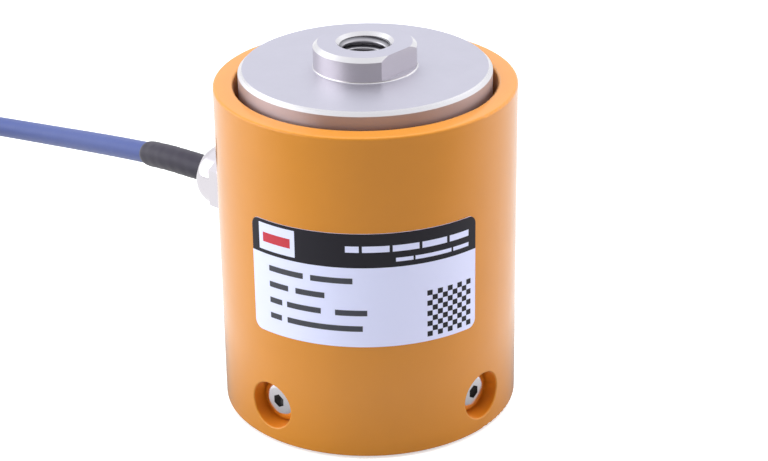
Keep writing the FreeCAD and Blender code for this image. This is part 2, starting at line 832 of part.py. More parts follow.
def make_cable_coil(placement):
    body = doc.addObject("PartDesign::Body", "cable_coil")
    body.Label = "cable_coil"
    body.Placement = placement
    parts.append(body)
    bundle = new_sketch(body, "XZ_Plane")
    draw_outline(
        bundle,
        [
            (COIL_INSIDE, COIL_BOTTOM),
            (COIL_OUTSIDE, COIL_BOTTOM),
            (COIL_OUTSIDE, COIL_TOP),
            (COIL_STEP, COIL_TOP),
            (COIL_STEP, COIL_LEDGE),
            (COIL_INSIDE, COIL_LEDGE),
        ],
    )
    ring = turn(body, "Revolution", bundle)
    corners = (
        (COIL_INSIDE, COIL_BOTTOM),
        (COIL_OUTSIDE, COIL_BOTTOM),
        (COIL_OUTSIDE, COIL_TOP),
        (COIL_STEP, COIL_TOP),
        (COIL_INSIDE, COIL_LEDGE),
    )
    edges = [
        edge
        for radius, height in corners
        for edge in ring_edges(ring, value(radius), V(0, 0, value(height)))
    ]
    dress(body, "Fillet", ring, edges, "sizes.coil_round")
    stub = new_sketch(body, "XZ_Plane")
    draw_circle(stub, COIL_OUTER_TURN, STUB_HEIGHT, "sizes.cable_diameter / 2")
    extrude(body, "Pad", stub, STUB_LENGTH)
    tail = new_sketch(body, "XZ_Plane")
    turned = FreeCAD.Rotation(V(0, 1, 0), value("sizes.tail_start"))
    tail.AttachmentOffset = FreeCAD.Placement(V(), turned)
    tail.setExpression("AttachmentOffset.Rotation.Angle", "sizes.tail_start")
    draw_circle(tail, TAIL_TURN, TAIL_HEIGHT, "sizes.cable_diameter / 2")
    turn(body, "Revolution", tail, angle="sizes.tail_angle")


def make_coil_strap(placement):
    """A band round the bundle, as wide as a few degrees of the coil."""
    inner = [
        V(value(radius), 0, value(height))
        for radius, height in (
            (COIL_INSIDE, COIL_BOTTOM),
            (COIL_OUTSIDE, COIL_BOTTOM),
            (COIL_OUTSIDE, COIL_TOP),
            (COIL_STEP, COIL_TOP),
            (COIL_INSIDE, COIL_LEDGE),
        )
    ]
    loop = Part.makePolygon(inner + inner[:1])
    band = loop.makeOffset2D(value("sizes.strap_thickness"), fill=True)
    strap = band.revolve(V(), UP, value("sizes.strap_angle"))
    clear_of_tail = FreeCAD.Rotation(UP, value("sizes.strap_start"))
    add_shape("coil_strap", strap, placement * FreeCAD.Placement(V(), clear_of_tail))


# Bare wires at the cable's free end, lying in the middle of the coil.
# Each row of the route: how far ahead of the tail's end, how far towards the coil's axis, how far
# down from the tail, then the wires' spacing side by side and their distance above the middle.

LEAD_ROUTE = [
    (0.0, 0.0, 0.0, 0.0, 0.75),
    (5.0, 0.0, 0.0, 0.0, 0.75),
    (12.0, 8.5, 1.2, 1.1, 0.5),
    (13.0, 16.0, 5.4, 1.4, 0.1),
    (9.0, 24.0, 7.1, 1.9, 0.0),
]
LEAD_PLACES = [(-2, 1), (-1, -1), (1, -1), (2, 1)]  # place in the row of wires, and above or below


def lead_points(place, level, packed):
    """The route of one wire of the free end, packed being its place inside the jacket."""
    tail_end = math.radians(value("sizes.tail_start + sizes.tail_angle"))
    out = V(math.cos(tail_end), math.sin(tail_end), 0)
    ahead = V(-out.y, out.x, 0)
    end = out * value(TAIL_TURN) + UP * value(TAIL_HEIGHT)
    middle = [end + ahead * u - out * w - UP * down for u, w, down, _, _ in LEAD_ROUTE]
    points = []
    for i, (_, _, _, spacing, above) in enumerate(LEAD_ROUTE):
        heading = middle[min(i + 1, len(middle) - 1)] - middle[max(i - 1, 0)]
        aside = UP.cross(heading).normalize() if spacing else -out
        across = place * spacing if spacing else packed
        points.append(middle[i] + aside * across + UP * level * above)
    return points


def make_free_end(placement):
    packed = value("sizes.core_wire_spacing / 2")
    for colour, (place, level) in zip(CORE_COLOURS, LEAD_PLACES):
        route = route_edges(lead_points(place, level, math.copysign(packed, place)))
        add_shape(f"lead_{colour}", sweep_tube(route, value("sizes.lead_diameter")), placement)
    drain = sweep_tube(route_edges(lead_points(0, 0, 0)), value("sizes.drain_diameter"))
    add_shape("shield_drain", drain, placement)


# Cores from the cable's inner end to the terminal board, with the gland along +Y.
# The lower two fall nearer to the gland and land between the upper two.


def make_core_wires():
    turned = FreeCAD.Placement(V(), FreeCAD.Rotation(UP, value("sizes.clocking_angle")))
    half_spacing = value("sizes.core_wire_spacing / 2")
    landing = value("sizes.core_wire_landing / 2")
    start = value(CABLE_START)
    board_face = value(f"{FLEXURE_FACE} + sizes.board_thickness")
    board_middle = value("sizes.board_bottom + sizes.board_height / 2")
    room = value(f"{FLANGE_START} - sizes.gland_shank") - board_face
    for colour, (place, level) in zip(CORE_COLOURS, LEAD_PLACES):
        side = math.copysign(1, place)
        height = value("sizes.gland_height") + level * half_spacing
        fall = board_face + room * (0.35 if level > 0 else 0.6)
        land = side * landing * (3 if level > 0 else 1)
        points = [
            V(side * half_spacing, start, height),
            V(side * half_spacing, fall, height),
            V(land, fall, board_middle),
            V(land, board_face, board_middle),
        ]
        wire = sweep_tube(route_edges(points), value("sizes.core_wire_diameter"))
        add_shape(f"core_wire_{colour}", wire, turned)


make_outer_sleeve()
make_spring_element()
make_sleeve_screws()
for gauge_level in ("upper", "lower"):
    for gauge_side in ("left", "right"):
        make_gauge_and_ribbon(gauge_level, gauge_side)
make_terminal_board()
make_rating_label()
make_gland_body()
make_gland_washer()
make_gland_seal()
make_gland_nut()
make_cable()
coil_place = coil_placement(value(STUB_LENGTH))
make_cable_coil(coil_place)
make_coil_strap(coil_place)
make_free_end(coil_place)
make_core_wires()
doc.recompute()

# Every object has to be sound before anything is written
for item in doc.Objects:
    if "Invalid" in item.State or "Error" in item.State:
        raise ValueError(f"{item.Label} failed: {item.State}")
for part in parts:
    if part.Shape.isNull() or not part.Shape.isValid():
        raise ValueError(f"{part.Label} has no valid shape")

os.makedirs("parts", exist_ok=True)
for part in parts:
    part.Shape.exportStep(f"parts/{part.Label}.step")
    print(part.Label, len(part.Shape.Solids), "solid", round(part.Shape.Volume, 2), "mm3")
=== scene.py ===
import math

import bmesh
import bpy
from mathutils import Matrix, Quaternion, Vector


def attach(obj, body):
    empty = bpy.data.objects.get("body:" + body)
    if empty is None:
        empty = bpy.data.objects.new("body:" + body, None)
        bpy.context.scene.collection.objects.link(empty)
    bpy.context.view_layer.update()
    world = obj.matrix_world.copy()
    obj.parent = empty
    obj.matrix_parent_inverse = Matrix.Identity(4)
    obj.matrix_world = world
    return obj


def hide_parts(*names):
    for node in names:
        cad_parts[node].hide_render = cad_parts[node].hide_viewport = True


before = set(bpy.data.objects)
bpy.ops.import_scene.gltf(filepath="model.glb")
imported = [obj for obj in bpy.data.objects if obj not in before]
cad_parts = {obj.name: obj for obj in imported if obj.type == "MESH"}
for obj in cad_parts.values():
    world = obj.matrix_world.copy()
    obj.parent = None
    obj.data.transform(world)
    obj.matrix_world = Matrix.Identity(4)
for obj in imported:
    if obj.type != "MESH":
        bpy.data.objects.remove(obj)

MM = 0.001
UP = Vector((0, 0, 1))
scene = bpy.context.scene
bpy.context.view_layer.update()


# Nodes and materials: every material has colour, gloss or relief that varies over the surface

NOISE_DETAIL = 3.0


class Graph:
    """The nodes of a material or of the world, with short ways to add and join them."""

    def __init__(self, tree):
        self.nodes = tree.nodes
        self.links = tree.links

    def add(self, kind, **settings):
        """A new node of that kind, with its own settings."""
        node = self.nodes.new("ShaderNode" + kind)
        for name, setting in settings.items():
            setattr(node, name, setting)
        return node

    def feed(self, socket, given):
        """Links an input to another node's output, or sets it to a number or colour."""
        if isinstance(given, bpy.types.NodeSocket):
            self.links.new(given, socket)
        else:
            socket.default_value = given

    def join(self, node, *values):
        """Feeds a node's inputs in their order, and gives its output."""
        inputs = [socket for socket in node.inputs if socket.enabled]
        for socket, given in zip(inputs, values):
            self.feed(socket, given)
        return next(socket for socket in node.outputs if socket.enabled)

    def math(self, operation, *values):
        return self.join(self.add("Math", operation=operation), *values)

    def mix(self, kind, factor, first, second):
        """Goes from the first to the second as the factor rises; kind is RGBA or FLOAT."""
        return self.join(self.add("Mix", data_type=kind), factor, first, second)

    def ramp(self, value, start, end, low=0.0, high=1.0, **settings):
        """Goes from low to high as the value goes from start to end."""
        return self.join(self.add("MapRange", **settings), value, start, end, low, high)

    def length(self, vector):
        return self.join(self.add("VectorMath", operation="LENGTH"), vector)

    def axes(self, vector):
        """The outputs X, Y and Z of a vector."""
        node = self.add("SeparateXYZ")
        self.feed(node.inputs["Vector"], vector)
        return node.outputs


class Surface(Graph):
    """A Principled material and the detail on it; sizes and depths are in millimetres."""

    def __init__(self, name, colour, roughness, metallic=0.0, **constants):
        self.material = bpy.data.materials.new(name)
        self.material.use_nodes = True
        super().__init__(self.material.node_tree)
        self.inputs = self.nodes["Principled BSDF"].inputs
        self.colour = colour
        self.roughness = roughness
        self.inputs["Base Color"].default_value = (*colour, 1)
        self.inputs["Roughness"].default_value = roughness
        self.inputs["Metallic"].default_value = metallic
        for socket, number in constants.items():
            self.inputs[socket.replace("_", " ")].default_value = number
        self.place = self.add("TexCoord").outputs["Object"]

    def noise(self, size, stretch=(1, 1, 1)):
        """Noise with features of about that size, stretched along the axes."""
        mapping = self.add("Mapping")
        mapping.inputs["Scale"].default_value = [1 / factor for factor in stretch]
        self.feed(mapping.inputs["Vector"], self.place)
        noise = self.add("TexNoise")
        noise.inputs["Scale"].default_value = 1 / (size * MM)
        noise.inputs["Detail"].default_value = NOISE_DETAIL
        self.feed(noise.inputs["Vector"], mapping.outputs["Vector"])
        return noise.outputs["Fac"]

    def mottle(self, size, amount):
        """The colour drifts lighter and darker by amount."""
        dark = [channel * (1 - amount) for channel in self.colour]
        light = [channel * (1 + amount) for channel in self.colour]
        drift = self.mix("RGBA", self.noise(size), (*dark, 1), (*light, 1))
        self.feed(self.inputs["Base Color"], drift)
        return self

    def uneven_gloss(self, size, amount):
        """The roughness drifts by amount either way."""
        glossy, dull = self.roughness - amount, self.roughness + amount
        self.feed(self.inputs["Roughness"], self.ramp(self.noise(size), 0.0, 1.0, glossy, dull))
        return self

    def relief(self, height, depth):
        """A bump of that depth from a height between 0 and 1."""
        bump = self.add("Bump")
        bump.inputs["Strength"].default_value = 1.0
        bump.inputs["Distance"].default_value = depth * MM
        self.feed(bump.inputs["Height"], height)
        self.feed(self.inputs["Normal"], bump.outputs["Normal"])
        return self

    def grain(self, size, depth, stretch=(1, 1, 1)):
        return self.relief(self.noise(size, stretch), depth)

    def off_axis(self):
        """How far a place is from the cell's axis."""
        flat = self.join(self.add("VectorMath", operation="MULTIPLY"), self.place, (1, 1, 0))
        return self.length(flat)

    def lay_over(self, name, share, finish):
        """Lays a colour or number over what an input already has, by a share from 0 to 1."""
        socket = self.inputs[name]
        kind = "RGBA" if socket.type == "RGBA" else "FLOAT"
        self.feed(socket, self.mix(kind, share, socket.links[0].from_socket, finish))


WAVE_RINGS = 20 / (2 * math.pi)  # rings that the wave texture draws in one unit, at a scale of 1
RING_WOBBLE = 0.6


def turned_rings(surface, pitch, depth):
    """Faint rings about the cell's axis, as turning leaves them."""
    rings = surface.add("TexWave", wave_type="RINGS", rings_direction="Z")
    rings.inputs["Scale"].default_value = 1 / (pitch * MM) / WAVE_RINGS
    rings.inputs["Distortion"].default_value = RING_WOBBLE
    surface.feed(rings.inputs["Vector"], surface.place)
    surface.relief(rings.outputs["Fac"], depth)


RIM_RADIUS = 24.5  # beyond it is the load disc's rim, which is turned coarser and carries a painted reflection of the orange sleeve
RIM_STRETCH = 0.9  # the rim's grooves stretch its reflections upright
QUARTER_TURN = 0.25

# Slope is 0 on an upright face and 1 on a level one: the middle of a range and its spread
UPRIGHT = (0.0, 0.5)
CHAMFERED = (0.7, 0.2)
NOT_LEVEL = (0.0, 0.9)


def cut_faces(surface, chamfer_colour, side_finish, rim_finish_and_reflection):
    """Level faces stay dull; the chamfers are brightest, and the upright faces have two finishes; the
    rim's darker, warmer colour is a painted reflection of the orange sleeve.
    """
    side_colour, side_roughness = side_finish
    rim_reflection_colour, rim_roughness = rim_finish_and_reflection
    on_rim = surface.math("GREATER_THAN", surface.off_axis(), RIM_RADIUS * MM)
    facing = surface.add("NewGeometry").outputs["Normal"]
    slope = surface.math("ABSOLUTE", surface.axes(facing)["Z"])
    upright = surface.math("COMPARE", slope, *UPRIGHT)
    chamfered = surface.math("COMPARE", slope, *CHAMFERED)
    not_level = surface.math("COMPARE", slope, *NOT_LEVEL)

    # the rim's colour is a painted reflection of the orange sleeve
    side_colours = surface.mix("RGBA", on_rim, (*side_colour, 1), (*rim_reflection_colour, 1))
    surface.lay_over("Base Color", upright, side_colours)
    surface.lay_over("Base Color", chamfered, (*chamfer_colour, 1))
    side_gloss = surface.mix("FLOAT", on_rim, side_roughness, rim_roughness)
    surface.lay_over("Roughness", not_level, side_gloss)

    tangent = surface.add("Tangent", direction_type="RADIAL", axis="Z")
    surface.feed(surface.inputs["Tangent"], tangent.outputs["Tangent"])
    surface.inputs["Anisotropic Rotation"].default_value = QUARTER_TURN
    stretched = surface.math("MULTIPLY", on_rim, RIM_STRETCH)
    surface.feed(surface.inputs["Anisotropic"], surface.math("MULTIPLY", upright, stretched))


SKIN_RADIUS = 29.8  # just under the sleeve's skin
RIM_HEIGHT = 68.0  # just under the sleeve's rim


def coat_outside(surface, recess_shade_colour):
    """Keeps the coat to the sleeve's skin and rim; the walls of its holes get a deeper, redder orange,
    painted in for the warm shade inside them.
    """
    outside = surface.math(
        "MAXIMUM",
        surface.math("GREATER_THAN", surface.off_axis(), SKIN_RADIUS * MM),
        surface.math("GREATER_THAN", surface.axes(surface.place)["Z"], RIM_HEIGHT * MM),
    )
    coat = surface.inputs["Coat Weight"]
    surface.feed(coat, surface.math("MULTIPLY", outside, coat.default_value))
    # painted shade: a deeper, redder orange on the walls of the holes
    surface.lay_over("Base Color", surface.math("SUBTRACT", 1.0, outside), (*recess_shade_colour, 1))


CREST_RADIUS, ROOT_RADIUS = 4.3, 4.9  # just within the thread's depth; the painted shade darkens between them


def painted_root_shade(surface, colour):
    """Painted shade in the thread: the colour darkens from the thread's crest to its root."""
    depth = surface.ramp(surface.off_axis(), CREST_RADIUS * MM, ROOT_RADIUS * MM)
    surface.lay_over("Base Color", depth, (*colour, 1))


SCREW_HEIGHT = 8.25
SCREW_FACE = 27.57  # from the cell's axis to just under the heads' faces
SOCKET_RADIUS = 1.6  # just past the hexagon's corners
DIAGONAL = math.sqrt(0.5)


def painted_socket_shade(surface, colour):
    """Paints shade into the screws' hexagon sockets, which lie on the diagonals below the heads' faces."""
    place = surface.axes(surface.place)
    x = surface.math("ABSOLUTE", place["X"])
    y = surface.math("ABSOLUTE", place["Y"])
    out = surface.math("MULTIPLY", surface.math("ADD", x, y), DIAGONAL)
    aside = surface.math("MULTIPLY", surface.math("SUBTRACT", x, y), DIAGONAL)
    above = surface.math("SUBTRACT", place["Z"], SCREW_HEIGHT * MM)
    squares = [surface.math("POWER", distance, 2) for distance in (aside, above)]
    off_screw = surface.math("SQRT", surface.math("ADD", *squares))
    # painted shade: where a place lies inside a hexagon socket
    socket_shade_share = surface.math(
        "MULTIPLY",
        surface.math("LESS_THAN", off_screw, SOCKET_RADIUS * MM),
        surface.math("LESS_THAN", out, SCREW_FACE * MM),
    )
    surface.lay_over("Base Color", socket_shade_share, (*colour, 1))


# Each surface has a colour, a roughness and metal or none, then details with their size and amount

orange = Surface(
    "orange_coat",
    (0.64, 0.23, 0.011),
    0.5,
    Specular_IOR_Level=0.2,
    Coat_Weight=1.0,
    Coat_Roughness=0.08,
    Sheen_Weight=0.1,
    Sheen_Roughness=0.4,
)
orange.mottle(9, 0.03).uneven_gloss(3, 0.03).grain(0.9, 0.004)
# the recess colour is painted shade for the walls of the holes
coat_outside(orange, recess_shade_colour=(0.75, 0.225, 0.006))

steel = Surface("spring_steel", (0.67, 0.665, 0.76), 0.52, 1.0)
steel.mottle(6, 0.03).uneven_gloss(1.2, 0.05)
turned_rings(steel, 2.2, 0.0012)
cut_faces(
    steel,
    chamfer_colour=(0.82, 0.815, 0.84),
    side_finish=((0.7, 0.66, 0.675), 0.24),
    # the rim's darker, warmer colour is a painted reflection of the orange sleeve; its roughness comes
    # from the coarser turning
    rim_finish_and_reflection=((0.53, 0.46, 0.485), 0.42),
)

thread_steel = Surface("thread_steel", (0.62, 0.61, 0.65), 0.3, 1.0)
thread_steel.mottle(1, 0.1).uneven_gloss(0.6, 0.05)
# painted shade in the thread's roots
painted_root_shade(thread_steel, (0.2, 0.2, 0.22))

screw_steel = Surface("screw_steel", (0.93, 0.9, 0.95), 0.14, 1.0)
screw_steel.mottle(2, 0.04).uneven_gloss(0.6, 0.04).grain(0.3, 0.001)
# painted shade inside the screws' hexagon sockets
painted_socket_shade(screw_steel, (0.3, 0.29, 0.29))

chrome = Surface("gland_plate", (0.72, 0.69, 0.735), 0.09, 1.0)
chrome.mottle(5, 0.02).uneven_gloss(1.5, 0.03)

rubber = Surface("gland_rubber", (0.018, 0.018, 0.02), 0.6)
rubber.mottle(2, 0.15).grain(0.25, 0.01)

shrink = Surface("shrink_film", (0.028, 0.024, 0.037), 0.45, Specular_IOR_Level=0.3)
shrink.mottle(3, 0.1).uneven_gloss(1, 0.05).grain(0.5, 0.01)

jacket = Surface("cable_jacket", (0.051, 0.074, 0.23), 0.42, Specular_IOR_Level=0.35)
jacket.mottle(5, 0.06).uneven_gloss(1.5, 0.05).grain(0.4, 0.006)

strap_film = Surface("strap_film", (0.02, 0.02, 0.022), 0.7)
strap_film.mottle(1, 0.2).grain(0.35, 0.05)

label_film = Surface("label_film", (0.735, 0.74, 0.98), 0.45, Specular_IOR_Level=0.35)
label_film.mottle(12, 0.01).uneven_gloss(4, 0.02).grain(0.5, 0.001)

print_black = Surface("print_black", (0.016, 0.014, 0.021), 0.5, Specular_IOR_Level=0.3)
print_black.mottle(8, 0.08).uneven_gloss(3, 0.03)

print_grey = Surface("print_grey", (0.06, 0.06, 0.075), 0.5, Specular_IOR_Level=0.3)
print_grey.mottle(2, 0.08).uneven_gloss(3, 0.03)

print_red = Surface("print_red", (0.55, 0.03, 0.05), 0.42)
print_red.mottle(2, 0.06)

gauge_film = Surface("gauge_film", (0.5, 0.3, 0.06), 0.3)
gauge_film.mottle(0.6, 0.2).uneven_gloss(1, 0.05)

ribbon_film = Surface("ribbon_film", (0.42, 0.2, 0.05), 0.32)
ribbon_film.mottle(1, 0.1).grain(0.3, 0.005)

board_laminate = Surface("board_laminate", (0.02, 0.13, 0.04), 0.35)
board_laminate.mottle(0.8, 0.15).grain(0.4, 0.006)

drain_metal = Surface("drain_wire", (0.6, 0.57, 0.52), 0.3, 1.0)
drain_metal.mottle(0.5, 0.1).grain(0.15, 0.02, stretch=(1, 1, 3))

CORE_COLOURS = {
    "red": (0.42, 0.012, 0.01),
    "black": (0.012, 0.012, 0.013),
    "green": (0.01, 0.14, 0.025),
    "white": (0.72, 0.72, 0.69),
}

node_surfaces = {
    "outer_sleeve": orange,
    "spring_element": steel,
    "sleeve_screws": screw_steel,
    "rating_label": label_film,
    "gland_body": chrome,
    "gland_nut": chrome,
    "gland_washer": rubber,
    "gland_seal": rubber,
    "coil_strap": strap_film,
    "terminal_board": board_laminate,
    "shield_drain": drain_metal,
}
for core_name, core_colour in CORE_COLOURS.items():
    core = Surface(f"core_{core_name}", core_colour, 0.38)
    core.mottle(1.5, 0.06).uneven_gloss(0.8, 0.04)
    node_surfaces[f"lead_{core_name}"] = core
    node_surfaces[f"core_wire_{core_name}"] = core
for level in ("upper", "lower"):
    for side in ("left", "right"):
        node_surfaces[f"strain_gauge_{level}_{side}"] = gauge_film
        node_surfaces[f"gauge_ribbon_{level}_{side}"] = ribbon_film


def paint(node, surface):
    """Gives a CAD node its finished material."""
    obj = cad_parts[node]
    for material_slot in obj.material_slots:
        material_slot.material = surface.material
    if not obj.material_slots:
        obj.data.materials.append(surface.material)


for node, surface in node_surfaces.items():
    paint(node, surface)


def add_piece(name, data, surface):
    """Puts a new piece into the scene, rides it on the frame and gives it its material."""
    obj = bpy.data.objects.new(name, data)
    scene.collection.objects.link(obj)
    obj.data.materials.append(surface.material)
    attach(obj, "root")
    return obj


def mesh_piece(name, mesh, surface):
    """A smooth piece from a finished mesh."""
    bmesh.ops.recalc_face_normals(mesh, faces=mesh.faces)
    data = bpy.data.meshes.new(name)
    mesh.to_mesh(data)
    mesh.free()
    for polygon in data.polygons:
        polygon.use_smooth = True
    return add_piece(name, data, surface)


# Camera, at the photograph's viewing angle; heading, dip and roll are in degrees

CAMERA_PLACE = (-0.022903, -0.393622, 0.221494)
CAMERA_HEADING = -3.802
CAMERA_DIP = 25.236
CAMERA_ROLL = -0.783
CAMERA_LENS = 100.78
SENSOR_WIDTH = 36.0


def make_camera():
    data = bpy.data.cameras.new("camera")
    data.sensor_fit = "HORIZONTAL"
    data.sensor_width = SENSOR_WIDTH
    data.lens = CAMERA_LENS
    camera = bpy.data.objects.new("camera", data)
    scene.collection.objects.link(camera)
    camera.location = CAMERA_PLACE
    heading, dip = math.radians(CAMERA_HEADING), math.radians(CAMERA_DIP)
    look = Vector(
        (-math.sin(heading) * math.cos(dip), math.cos(heading) * math.cos(dip), -math.sin(dip))
    )
    roll = Quaternion((0, 0, 1), math.radians(CAMERA_ROLL))
    camera.rotation_mode = "QUATERNION"
    camera.rotation_quaternion = look.to_track_quat("-Z", "Y") @ roll
    return camera


scene.camera = make_camera()


# Cable: one smooth line from inside the gland, down to the floor and round the coil, in metres

CABLE_DIAMETER = 0.0048
CABLE_ROUTE = [
    (-0.0198, 0.0198, 0.0367),
    (-0.0368, 0.0368, 0.0367),
    (-0.0504, 0.0581, 0.0313),
    (-0.0730, 0.0964, 0.0199),
    (-0.0945, 0.1241, 0.0128),
    (-0.1134, 0.1306, 0.0128),
    (-0.1322, 0.1238, 0.0128),
]
COIL_STUB = 0.01954  # straight run from the route's end to the coil
COIL_RADIUS = 0.0342  # of the outermost turns
COIL_FOOT = 0.0032  # height of the lowest turns
COIL_LAYERS = 3
CLOSE_TURNS = 10
LAST_TURN = (0.0200, 0.0078)  # radius and height of the loose turn at the end
TURN_ANGLE = 345.0  # degrees; each turn shifts over a little before the one outside it
SHIFT_ANGLE = 60.0
POINT_ANGLE = 15.0
TAIL_ANGLE = 50.0

coil_start = Vector(CABLE_ROUTE[-1])
coil_ahead = coil_start - Vector(CABLE_ROUTE[-2])
coil_ahead.z = 0
coil_ahead.normalize()
coil_inward = UP.cross(coil_ahead)
coil_centre = coil_start + coil_ahead * COIL_STUB + coil_inward * COIL_RADIUS


def coil_point(angle, radius, height):
    """A place on the coil, angle in degrees from where the cable comes in."""
    turned = math.radians(angle)
    out = coil_ahead * math.sin(turned) - coil_inward * math.cos(turned)
    place = coil_centre + out * radius
    return Vector((place.x, place.y, height))


def coil_turns():
    """Radius and height of each turn, from the outside in: down through the layers, then up, and so on."""
    turns = []
    for number in range(CLOSE_TURNS):
        column, step = divmod(number, COIL_LAYERS)
        layer = step if column % 2 else COIL_LAYERS - 1 - step
        turns.append((COIL_RADIUS - column * CABLE_DIAMETER, COIL_FOOT + layer * CABLE_DIAMETER))
    return turns + [LAST_TURN]


def coil_points():
    """Control points of the turns; near its end each one eases over to the next."""
    turns = coil_turns()
    last = len(turns) - 1
    end = TURN_ANGLE * last + TAIL_ANGLE
    points = []
    for number in range(int(end / POINT_ANGLE) + 1):
        angle = number * POINT_ANGLE
        turn = min(int(angle / TURN_ANGLE), last)
        radius, height = turns[turn]
        next_radius, next_height = turns[min(turn + 1, last)]
        share = (angle - (turn + 1) * TURN_ANGLE + SHIFT_ANGLE) / SHIFT_ANGLE
        share = min(max(share, 0), 1)
        eased = share * share * (3 - 2 * share)
        radius += (next_radius - radius) * eased
        height += (next_height - height) * eased
        points.append(coil_point(angle, radius, height))
    points.append(coil_point(end, *turns[last]))
    return points


def smooth_line(name, points):
    """A curve that runs smoothly along its control points."""
    curve = bpy.data.curves.new(name, "CURVE")
    curve.dimensions = "3D"
    spline = curve.splines.new("NURBS")
    spline.points.add(len(points) - 1)
    for point, place in zip(spline.points, points):
        point.co = (*place, 1)
    spline.order_u = 3
    spline.use_endpoint_u = True
    curve.resolution_u = 12
    return curve


cable_curve = smooth_line("cable", CABLE_ROUTE + coil_points())
cable_curve.bevel_depth = CABLE_DIAMETER / 2
cable_curve.bevel_resolution = 6
cable_curve.use_fill_caps = True
cable = add_piece("cable", cable_curve, jacket)
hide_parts("cable_lead", "cable_coil")

# What is put away out of view leaves no mirror image on the sleeve
PUT_AWAY = ["coil_strap", "shield_drain", *(f"lead_{core_name}" for core_name in CORE_COLOURS)]
cable.visible_glossy = False
for node in PUT_AWAY:
    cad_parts[node].visible_glossy = False


# Heat-shrink sleeve, on the cable where it leaves the gland; lengths are in millimetres

SHRINK_START, SHRINK_END = 6.0, 40.6  # along the cable's route
SHRINK_RINGS, SHRINK_SIDES = 120, 40
SHRINK_RADIUS = 2.85
LIP_RADIUS = 2.38  # the lip at each end reaches just inside the cable's jacket
NARROW_FROM = 0.955  # share of the length from which the far end is drawn in on the cable
NARROW_BY = 0.3
RIPPLES = [(0.02, 61, 2, 0), (0.015, 23, -3, 1)]  # depth, waves along, waves round, start


def line_places(points):
    """Points along the smooth line through a route, from the curve itself."""
    bare = bpy.data.objects.new("bare_line", smooth_line("bare_line", points))
    scene.collection.objects.link(bare)
    bpy.context.view_layer.update()
    sampled = bpy.data.meshes.new_from_object(bare)
    places = [vertex.co.copy() for vertex in sampled.vertices]
    bpy.data.meshes.remove(sampled)
    bpy.data.objects.remove(bare)
    return places


def place_along(places, distance):
    """The place and direction at a distance along a line."""
    for start, end in zip(places, places[1:]):
        run = (end - start).length
        if distance <= run:
            return start.lerp(end, distance / run), (end - start).normalized()
        distance -= run
    return places[-1], (places[-1] - places[-2]).normalized()


def shrink_radius(share, angle):
    """The sleeve's radius, with slight ripples and the far end drawn in."""
    radius = SHRINK_RADIUS
    for depth, waves_along, waves_round, start in RIPPLES:
        radius += depth * math.sin(waves_along * share + waves_round * angle + start)
    narrow = max(0, (share - NARROW_FROM) / (1 - NARROW_FROM))
    return radius - NARROW_BY * narrow**2


def make_shrink_sleeve():
    places = line_places(CABLE_ROUTE)
    mesh = bmesh.new()

    def add_ring(share, lip=False):
        distance = SHRINK_START + (SHRINK_END - SHRINK_START) * share
        middle, ahead = place_along(places, distance * MM)
        across = ahead.cross(UP).normalized()
        above = across.cross(ahead)
        ring = []
        for side in range(SHRINK_SIDES):
            angle = 2 * math.pi * side / SHRINK_SIDES
            out = across * math.cos(angle) + above * math.sin(angle)
            radius = LIP_RADIUS if lip else shrink_radius(share, angle)
            ring.append(mesh.verts.new(middle + out * radius * MM))
        return ring

    rings = [add_ring(0, lip=True)]
    rings += [add_ring(number / SHRINK_RINGS) for number in range(SHRINK_RINGS + 1)]
    rings.append(add_ring(1, lip=True))
    for near, far in zip(rings, rings[1:]):
        for side in range(SHRINK_SIDES):
            following = (side + 1) % SHRINK_SIDES
            mesh.faces.new((near[side], near[following], far[following], far[side]))
    return mesh_piece("shrink_sleeve", mesh, shrink)


shrink_sleeve = make_shrink_sleeve()
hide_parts("heat_shrink_sleeve")


# Threads in the two stud holes: a right-hand ridge, in millimetres, trimmed by the hole's countersink

THREAD_PITCH = 1.5
THREAD_MAJOR, THREAD_MINOR = 5.0, 4.25
ROOT_HALF_WIDTH, CREST_HALF_WIDTH = 0.46, 0.1  # shares of the pitch
FLANK_STEPS = 3
THREAD_STEPS = 64  # in one turn
RUN_OUT = 0.625  # part of a turn in which the ridge fades at its end
MOUTH_RADIUS = 5.7
COVER = 0.05  # the trimmed ridge lies this far behind the countersink
FIRST_CREST = 0.21  # depth at which the ridge starts
FIRST_ANGLE = math.pi / 2
BOSS_TOP, TOP_THREAD_DEPTH = 76.5, 12.0
BASE_BOTTOM, BASE_THREAD_DEPTH = 0.0, 10.0


def thread_profile():
    """Radius and place along the axis of each corner of the ridge's section."""
    flank = []
    for step in range(FLANK_STEPS + 1):
        share = step / FLANK_STEPS
        radius = THREAD_MAJOR + (THREAD_MINOR - THREAD_MAJOR) * share
        half_width = ROOT_HALF_WIDTH + (CREST_HALF_WIDTH - ROOT_HALF_WIDTH) * share
        flank.append((radius, half_width))
    return [(radius, -half_width) for radius, half_width in flank] + flank[::-1]


def make_thread(name, mouth, inward, depth):
    """A helical ridge from the mouth into the hole; inward is 1 or -1 along Z."""
    mesh = bmesh.new()
    profile = thread_profile()
    last = int((depth - FIRST_CREST) / THREAD_PITCH * THREAD_STEPS)
    rows = []
    for step in range(last + 1):
        turns = step / THREAD_STEPS
        angle = FIRST_ANGLE + inward * 2 * math.pi * turns
        fade = min(1, (last - step) / THREAD_STEPS / RUN_OUT)
        row = []
        for radius, offset in profile:
            below = max(FIRST_CREST + (turns + offset) * THREAD_PITCH, 0)
            countersink = MOUTH_RADIUS - below
            if countersink > THREAD_MAJOR:
                countersink += COVER
            radius = max(THREAD_MAJOR - (THREAD_MAJOR - radius) * fade, countersink)
            place = (radius * math.cos(angle), radius * math.sin(angle), mouth + inward * below)
            row.append(mesh.verts.new(Vector(place) * MM))
        rows.append(row)
    for near, far in zip(rows, rows[1:]):
        for side in range(len(profile) - 1):
            mesh.faces.new((near[side], near[side + 1], far[side + 1], far[side]))
    return mesh_piece(name, mesh, thread_steel)


